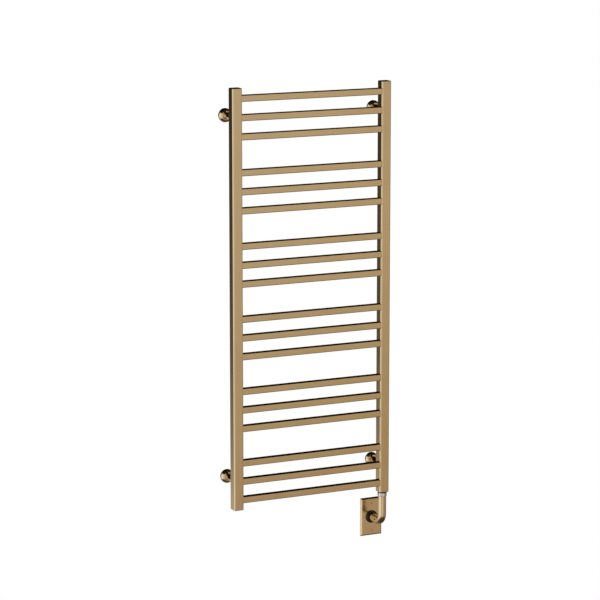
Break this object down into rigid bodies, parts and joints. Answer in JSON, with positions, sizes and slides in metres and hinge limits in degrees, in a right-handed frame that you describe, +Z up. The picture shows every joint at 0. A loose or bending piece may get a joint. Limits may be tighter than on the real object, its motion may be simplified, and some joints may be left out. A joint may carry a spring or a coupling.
{
  "type": "towel warmer rack",
  "caption": "Wall-hung ladder towel warmer: two square posts joined by flat rungs in spaced groups, round standoffs with rosettes, and a tube elbow to a wall plate.",
  "frame": {"origin": "on the wall plane, at the middle of the four wall fixings", "axes": "+X along the rungs to the side with the electrical connection, +Y into the wall, +Z up"},
  "size_m": [0.5199, 0.087, 1.3491],
  "materials": {
    "bronze_finish": "satin brushed bronze",
    "plate_finish": "satin brushed bronze",
    "plated_brass": "polished plated brass",
    "bare_steel": "bright steel",
    "spring_steel": "blackened steel",
    "black_rubber": "matt",
    "dark_grommet": "semi-gloss",
    "limiter_case": "matt",
    "white_plastic": "matt",
    "black_plastic": "matt",
    "lead_sheath": "matt",
    "core_black": "gloss",
    "core_white": "gloss",
    "core_green": "gloss",
    "cast_base": "as cast",
    "vent_metal": "polished"
  },
  "bodies": {
    "wall_bases": {"upper_left_wall_base": "cast_base", "upper_right_wall_base": "cast_base", "lower_left_wall_base": "cast_base", "lower_right_wall_base": "cast_base"},
    "frame": {"left_post": "bronze_finish", "right_post": "bronze_finish", "rung_01": "bronze_finish", "rung_02": "bronze_finish", "rung_03": "bronze_finish", "rung_04": "bronze_finish", "rung_05": "bronze_finish", "rung_06": "bronze_finish", "rung_07": "bronze_finish", "rung_08": "bronze_finish", "rung_09": "bronze_finish", "rung_10": "bronze_finish", "rung_11": "bronze_finish", "rung_12": "bronze_finish", "rung_13": "bronze_finish", "rung_14": "bronze_finish", "rung_15": "bronze_finish", "rung_16": "bronze_finish", "rung_17": "bronze_finish", "rung_18": "bronze_finish", "left_top_cap": "bronze_finish", "right_top_cap": "bronze_finish", "left_bottom_cap": "bronze_finish", "right_bottom_cap": "bronze_finish", "threaded_boss": "bare_steel", "element_gasket": "black_rubber", "element_head": "plated_brass", "element_rod": "bare_steel", "thermal_limiter": "limiter_case", "retaining_ring": "spring_steel", "upper_left_stem": "bronze_finish", "upper_right_stem": "bronze_finish", "lower_left_stem": "bronze_finish", "lower_right_stem": "bronze_finish", "set_screws": "spring_steel", "vent_boss": "bare_steel", "vent_washer": "black_rubber", "vent_body": "vent_metal"},
    "upper_left_rosette": {"upper_left_rosette": "bronze_finish"},
    "upper_right_rosette": {"upper_right_rosette": "bronze_finish"},
    "lower_left_rosette": {"lower_left_rosette": "bronze_finish"},
    "lower_right_rosette": {"lower_right_rosette": "bronze_finish"},
    "elbow": {"elbow": "bronze_finish", "swivel_bush": "white_plastic", "cable_clamp": "black_plastic", "supply_lead": "lead_sheath", "live_core": "core_black", "neutral_core": "core_white", "earth_core": "core_green"},
    "wall_plate": {"wall_plate": "plate_finish", "plate_grommet": "dark_grommet", "plate_screws": "plate_finish"},
    "vent_screw": {"vent_screw": "vent_metal"}
  },
  "joints": [
    {"name": "frame_pull_off", "type": "slide", "parent": "wall_bases", "child": "frame", "axis": [0, -1, 0], "range_m": [0, 0.022]},
    {"name": "upper_left_rosette_slide", "type": "slide", "parent": "frame", "child": "upper_left_rosette", "axis": [0, -1, 0], "range_m": [0, 0.04]},
    {"name": "upper_right_rosette_slide", "type": "slide", "parent": "frame", "child": "upper_right_rosette", "axis": [0, -1, 0], "range_m": [0, 0.04]},
    {"name": "lower_left_rosette_slide", "type": "slide", "parent": "frame", "child": "lower_left_rosette", "axis": [0, -1, 0], "range_m": [0, 0.04]},
    {"name": "lower_right_rosette_slide", "type": "slide", "parent": "frame", "child": "lower_right_rosette", "axis": [0, -1, 0], "range_m": [0, 0.04]},
    {"name": "elbow_swivel", "type": "hinge", "parent": "frame", "child": "elbow", "pos_m": [0.2325, -0.072, -0.62], "axis": [0, 0, 1], "range_deg": [-90, 90]},
    {"name": "wall_plate_slide", "type": "slide", "parent": "elbow", "child": "wall_plate", "axis": [0, -1, 0], "range_m": [0, 0.03]},
    {"name": "vent_screw_turn", "type": "hinge", "parent": "frame", "child": "vent_screw", "pos_m": [-0.2325, -0.052, 0.56], "axis": [0, 1, 0], "range_deg": [0, 360]}
  ]
}
